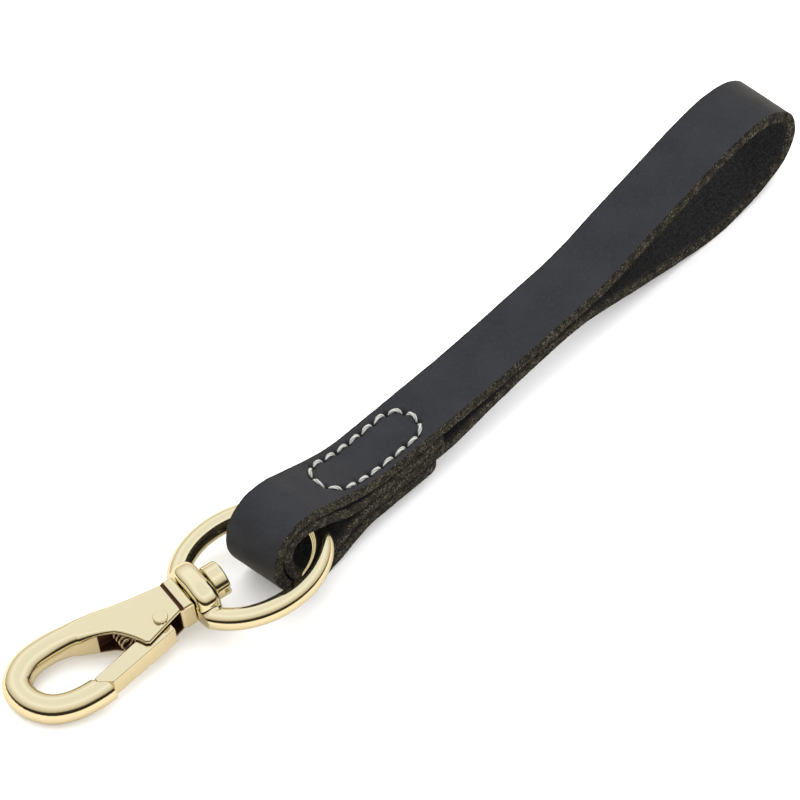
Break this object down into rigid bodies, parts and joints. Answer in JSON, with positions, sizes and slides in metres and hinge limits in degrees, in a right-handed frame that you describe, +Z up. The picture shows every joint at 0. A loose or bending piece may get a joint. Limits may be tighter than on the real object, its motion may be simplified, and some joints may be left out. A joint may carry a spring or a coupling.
{
  "type": "wristlet keychain",
  "caption": "Folded leather wrist strap, stitched round an oval ring that carries a swivelling snap hook with a sprung gate.",
  "frame": {"origin": "bottom centre of the bounding box, with the strap lying on a table", "axes": "+X along the strap towards the wrist loop, +Y across the strap away from the hook's gate side, +Z up"},
  "size_m": [0.2314, 0.0414, 0.0251],
  "materials": {
    "charcoal_leather": "smooth, faint pull-up mottling, raw fibrous edges",
    "pale_thread": "waxed twisted thread",
    "polished_light_gold": "polished, light gold",
    "spring_steel": "drawn wire"
  },
  "bodies": {
    "strap": {"strap": "charcoal_leather", "top_thread": "pale_thread", "bobbin_thread": "pale_thread"},
    "bow": {"bow_ring": "polished_light_gold"},
    "hook": {"snap_body": "polished_light_gold", "swivel_pin": "polished_light_gold", "gate_rivet": "polished_light_gold", "gate_spring": "spring_steel"},
    "gate": {"gate": "polished_light_gold"}
  },
  "joints": [
    {"name": "bow_rock", "type": "hinge", "parent": "strap", "child": "bow", "pos_m": [-0.03942, -0.00598, 0.01096], "axis": [0, 1, 0], "range_deg": [-50, 50]},
    {"name": "hook_swivel", "type": "hinge", "parent": "bow", "child": "hook", "pos_m": [-0.06819, 0.00003, 0.00886], "axis": [-0.9564, 0.2652, -0.1219], "continuous": true},
    {"name": "gate_hinge", "type": "hinge", "parent": "hook", "child": "gate", "pos_m": [-0.08002, -0.00063, 0.00749], "axis": [0.1174, -0.0326, -0.9925], "range_deg": [0, 28], "stiffness_Nm_per_rad": 0.1, "springref_deg": -22.92, "deforming": ["gate_spring"]}
  ]
}
